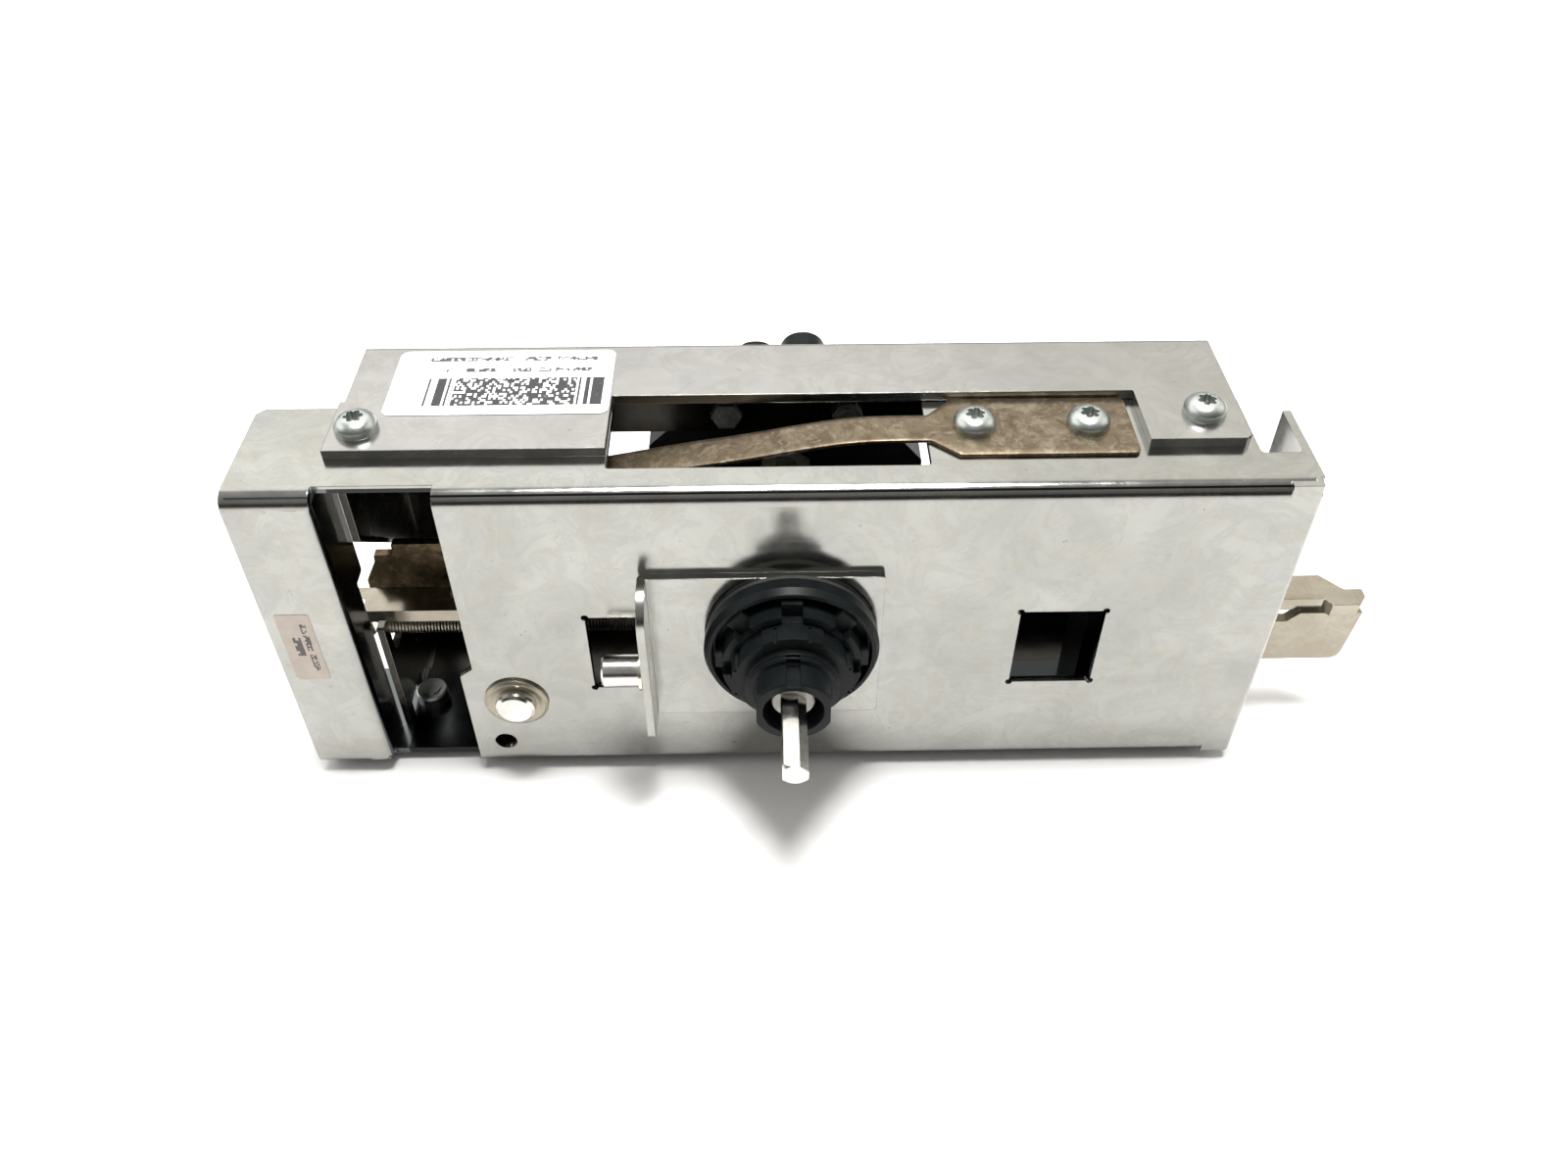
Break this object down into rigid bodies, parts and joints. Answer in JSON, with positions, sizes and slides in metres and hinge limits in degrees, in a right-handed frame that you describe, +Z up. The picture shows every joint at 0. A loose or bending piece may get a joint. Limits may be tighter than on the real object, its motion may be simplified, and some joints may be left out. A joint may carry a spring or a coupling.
{
  "type": "cabinet switch lock",
  "caption": "Folded sheet lock housing with a square handle shaft in a black rotary coupling that slides a hooked latch bar and turns the switch mounted behind.",
  "frame": {"origin": "middle of the overall box, on the base plate that the part stands on", "axes": "+X along the housing towards the hooked latch, +Y from the handle shaft towards the switch behind, +Z up"},
  "size_m": [0.283, 0.1488, 0.1034],
  "materials": {
    "bright_plate": "bright zinc plating, mottled",
    "satin_plate": "satin zinc plating",
    "nickel_plate": "warm grey nickel plating",
    "plated_steel": "bright plated",
    "zinc_screw": "zinc plated",
    "collar_brass": "passivated yellow",
    "spring_steel": "brown heat patina",
    "lever_steel": "brown patina",
    "dark_steel": "black oxide",
    "wire_steel": "spring wire",
    "gasket_rubber": "matte",
    "black_plastic": "moulded satin black",
    "white_nylon": "natural white",
    "label_white": null,
    "label_beige": null
  },
  "bodies": {
    "frame": {"front_housing": "bright_plate", "rear_chassis": "satin_plate", "corner_bracket": "bright_plate", "bracket_spacer": "plated_steel", "spacer_collar": "collar_brass", "chassis_screws": "zinc_screw", "leaf_spring_screws": "zinc_screw", "clinch_nuts": "zinc_screw", "leaf_spring": "spring_steel", "coupling_gasket": "gasket_rubber", "coupling_ring_nut": "black_plastic", "coupling_body": "black_plastic", "coupling_lock_nut": "zinc_screw", "spring_anchor": "plated_steel", "extension_spring": "wire_steel", "slide_guide_left": "black_plastic", "slide_guide_right": "black_plastic", "base_screws": "zinc_screw", "pivot_pin": "plated_steel", "pivot_washer": "bright_plate", "pivot_clip": "dark_steel", "switch_body": "black_plastic", "terminal_covers": "black_plastic", "switch_rear_plate": "black_plastic", "switch_screws": "zinc_screw", "switch_nuts": "zinc_screw", "type_label": "label_white", "strip_label": "label_beige"},
    "shaft": {"handle_shaft": "plated_steel", "shaft_sleeve": "white_nylon", "shaft_crank": "plated_steel", "crank_pin": "plated_steel", "crank_grub_screw": "dark_steel", "switch_rotor": "white_nylon"},
    "latch": {"latch_bar": "nickel_plate", "hook_plate": "nickel_plate", "latch_yoke": "nickel_plate", "spring_post": "plated_steel"},
    "lever": {"locking_lever": "lever_steel"}
  },
  "joints": [
    {"name": "shaft_turn", "type": "hinge", "parent": "frame", "child": "shaft", "pos_m": [-0.0129, -0.0296, 0.0528], "axis": [0, 1, 0], "range_deg": [0, 90]},
    {"name": "latch_slide", "type": "slide", "parent": "frame", "child": "latch", "axis": [1, 0, 0], "range_m": [-0.0198, 0], "deforming": ["extension_spring"]},
    {"name": "lever_swing", "type": "hinge", "parent": "frame", "child": "lever", "pos_m": [-0.0844, 0.004, 0.0283], "axis": [0, 1, 0], "range_deg": [0, 3], "stiffness_Nm_per_rad": 0.05, "springref_deg": -28.65, "deforming": ["leaf_spring"]}
  ],
  "couplings": [
    {"joint": "shaft_turn", "follows": "latch_slide", "rad_per_m": -79.33}
  ]
}
